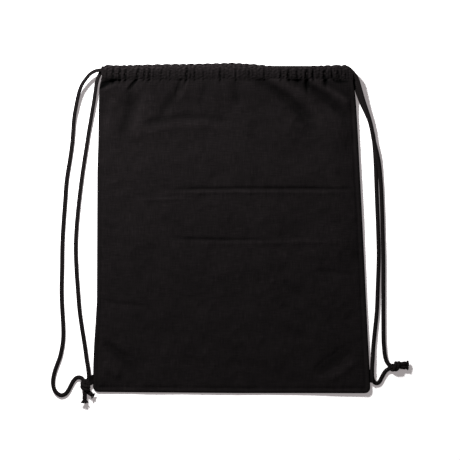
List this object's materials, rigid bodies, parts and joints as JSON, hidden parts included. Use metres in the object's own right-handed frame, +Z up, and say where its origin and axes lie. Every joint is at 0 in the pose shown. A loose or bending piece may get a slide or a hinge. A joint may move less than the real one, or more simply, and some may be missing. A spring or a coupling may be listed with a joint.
{
  "type": "drawstring backpack",
  "caption": "Flat black cotton drawstring backpack: gathered casing round the mouth, two cords as shoulder straps tied off at bottom corner tabs.",
  "frame": {"origin": "on the surface the bag lies on, in the middle of the bag's length and width", "axes": "X across the bag, +Y from the bottom seam to the mouth, +Z up through the front panel"},
  "size_m": [0.4919, 0.4662, 0.0204],
  "materials": {
    "cotton_cloth": "matte plain-weave cotton",
    "drawcord": "matte braided cotton"
  },
  "bodies": {
    "bag": {"back_panel": "cotton_cloth", "back_casing": "cotton_cloth", "left_seam": "cotton_cloth", "right_seam": "cotton_cloth", "bottom_seam": "cotton_cloth", "left_cord_back_run": "drawcord", "right_cord_back_run": "drawcord", "left_cord_bight": "drawcord", "right_cord_bight": "drawcord"},
    "mouth": {"front_panel": "cotton_cloth", "front_casing": "cotton_cloth", "left_cord_front_run": "drawcord", "right_cord_front_run": "drawcord"},
    "left_strap": {"left_tab": "cotton_cloth", "left_outer_strand": "drawcord", "left_inner_strand": "drawcord"},
    "right_strap": {"right_tab": "cotton_cloth", "right_outer_strand": "drawcord", "right_inner_strand": "drawcord"},
    "left_cord_end": {"left_lower_loop": "drawcord", "left_tab_cord": "drawcord", "left_knot": "drawcord", "left_tail_a": "drawcord", "left_tail_b": "drawcord"},
    "right_cord_end": {"right_lower_strand": "drawcord", "right_tab_cord": "drawcord", "right_knot": "drawcord", "right_tail_a": "drawcord", "right_tail_b": "drawcord"}
  },
  "joints": [
    {"name": "mouth_open", "type": "hinge", "parent": "bag", "child": "mouth", "pos_m": [0, -0.225, 0.0026], "axis": [1, 0, 0], "range_deg": [0, 7]},
    {"name": "left_strap_swing", "type": "hinge", "parent": "bag", "child": "left_strap", "pos_m": [-0.192, -0.202, 0.002], "axis": [0.0288, 0.9995, 0.012], "range_deg": [0, 55], "deforming": ["left_tab", "left_outer_strand", "left_inner_strand"]},
    {"name": "right_strap_swing", "type": "hinge", "parent": "bag", "child": "right_strap", "pos_m": [0.192, -0.202, 0.002], "axis": [0.0719, -0.9973, -0.012], "range_deg": [0, 55], "deforming": ["right_tab", "right_outer_strand", "right_inner_strand"]},
    {"name": "left_cord_pull", "type": "slide", "parent": "left_strap", "child": "left_cord_end", "axis": [0, -1, 0], "range_m": [0, 0.03]},
    {"name": "right_cord_pull", "type": "slide", "parent": "right_strap", "child": "right_cord_end", "axis": [0, -1, 0], "range_m": [0, 0.03]}
  ]
}
